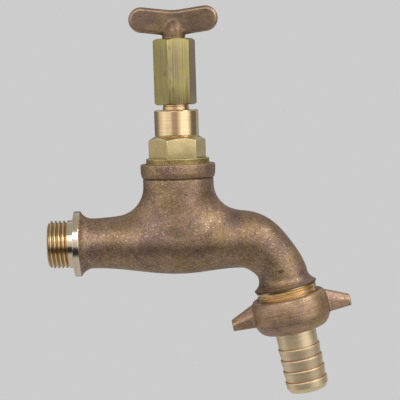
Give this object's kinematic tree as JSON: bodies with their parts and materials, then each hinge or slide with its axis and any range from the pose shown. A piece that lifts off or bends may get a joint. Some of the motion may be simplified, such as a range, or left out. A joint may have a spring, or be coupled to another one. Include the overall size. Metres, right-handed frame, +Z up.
{
  "type": "hose bib",
  "caption": "Brass and bronze garden tap with a loose T key over a recessed spindle and a winged union nut holding a barbed hose tail.",
  "frame": {"origin": "centre of the wall shoulder on the inlet axis, where the inlet thread ends", "axes": "+X along the inlet axis towards the spout, +Z up along the valve axis, +Y to the back when seen with the spout on the right"},
  "size_m": [0.1319, 0.0342, 0.1709],
  "materials": {
    "cast_bronze": "sand cast, tumbled, lightly tarnished",
    "forged_brass": "forged and milled, semi-bright",
    "turned_brass": "bright turned",
    "drawn_brass": "drawn bar with lengthwise marks",
    "satin_brass": "turned, satin",
    "inner_brass": "machined",
    "spring_steel": "drawn wire",
    "black_rubber": "moulded, matt",
    "red_fibre": "vulcanised fibre, matt",
    "packing_yarn": "braided and graphited"
  },
  "bodies": {
    "tap": {"body": "cast_bronze", "bonnet": "forged_brass", "bonnet_gasket": "red_fibre", "packing_base_washer": "inner_brass", "packing_ring_1": "packing_yarn", "packing_ring_2": "packing_yarn", "packing_ring_3": "packing_yarn", "gland_follower": "inner_brass", "gland_nut": "turned_brass"},
    "disc_set": {"valve_disc": "inner_brass", "seat_washer": "black_rubber", "washer_plate": "inner_brass", "disc_nut": "inner_brass"},
    "stem": {"spindle": "inner_brass", "disc_snap_ring": "spring_steel"},
    "key": {"key_socket": "drawn_brass", "key_handle": "cast_bronze"},
    "union_seal": {"hose_washer": "black_rubber"},
    "union_nut": {"wing_nut": "cast_bronze"},
    "tail": {"hose_tail": "satin_brass"}
  },
  "joints": [
    {"name": "spindle_lift", "type": "slide", "parent": "tap", "child": "disc_set", "axis": [0, 0, 1], "range_m": [0, 0.006]},
    {"name": "spindle_turn", "type": "hinge", "parent": "disc_set", "child": "stem", "pos_m": [0.0462, 0, 0], "axis": [0, 0, 1], "range_deg": [0, 1080]},
    {"name": "key_lift_off", "type": "slide", "parent": "stem", "child": "key", "axis": [0, 0, 1], "range_m": [0, 0.02]},
    {"name": "union_travel", "type": "slide", "parent": "tap", "child": "union_seal", "axis": [0.1908, 0, -0.9816], "range_m": [0, 0.00907]},
    {"name": "wing_nut_turn", "type": "hinge", "parent": "union_seal", "child": "union_nut", "pos_m": [0.09181, 0, -0.02152], "axis": [0.1908, 0, -0.9816], "range_deg": [0, 1800]},
    {"name": "hose_tail_swivel", "type": "hinge", "parent": "union_seal", "child": "tail", "pos_m": [0.09181, 0, -0.02152], "axis": [0.1908, 0, -0.9816], "continuous": true}
  ],
  "couplings": [
    {"joint": "spindle_lift", "follows": "spindle_turn", "m_per_rad": 0.0003183},
    {"joint": "union_travel", "follows": "wing_nut_turn", "m_per_rad": 0.0002887}
  ]
}
